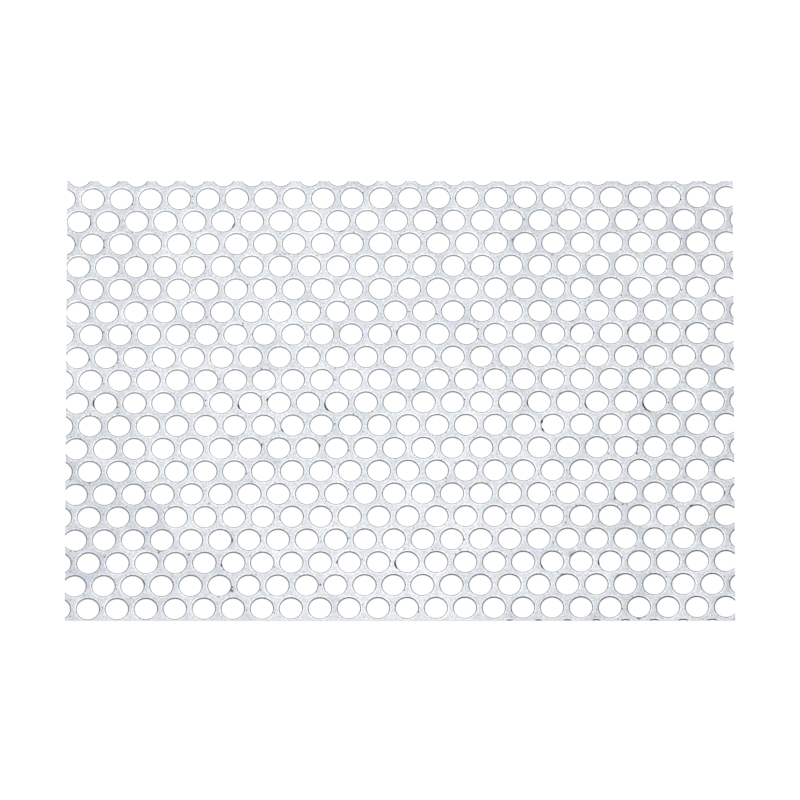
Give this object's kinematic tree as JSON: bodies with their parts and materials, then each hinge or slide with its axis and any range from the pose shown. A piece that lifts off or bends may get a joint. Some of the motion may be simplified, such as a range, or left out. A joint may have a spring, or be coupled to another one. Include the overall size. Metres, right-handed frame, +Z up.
{
  "type": "perforated metal sheet",
  "caption": "Flat steel sheet punched all over with round holes in staggered rows, cut to size through the holes.",
  "frame": {"origin": "under the middle of the sheet, on the face it lies on", "axes": "+X along the long edges, +Y across the sheet along the short edges, +Z up out of the punched face"},
  "size_m": [0.231, 0.167, 0.0005],
  "materials": {
    "galvanised_steel": "satin"
  },
  "bodies": {
    "root": {"perforated_sheet": "galvanised_steel"}
  },
  "joints": []
}
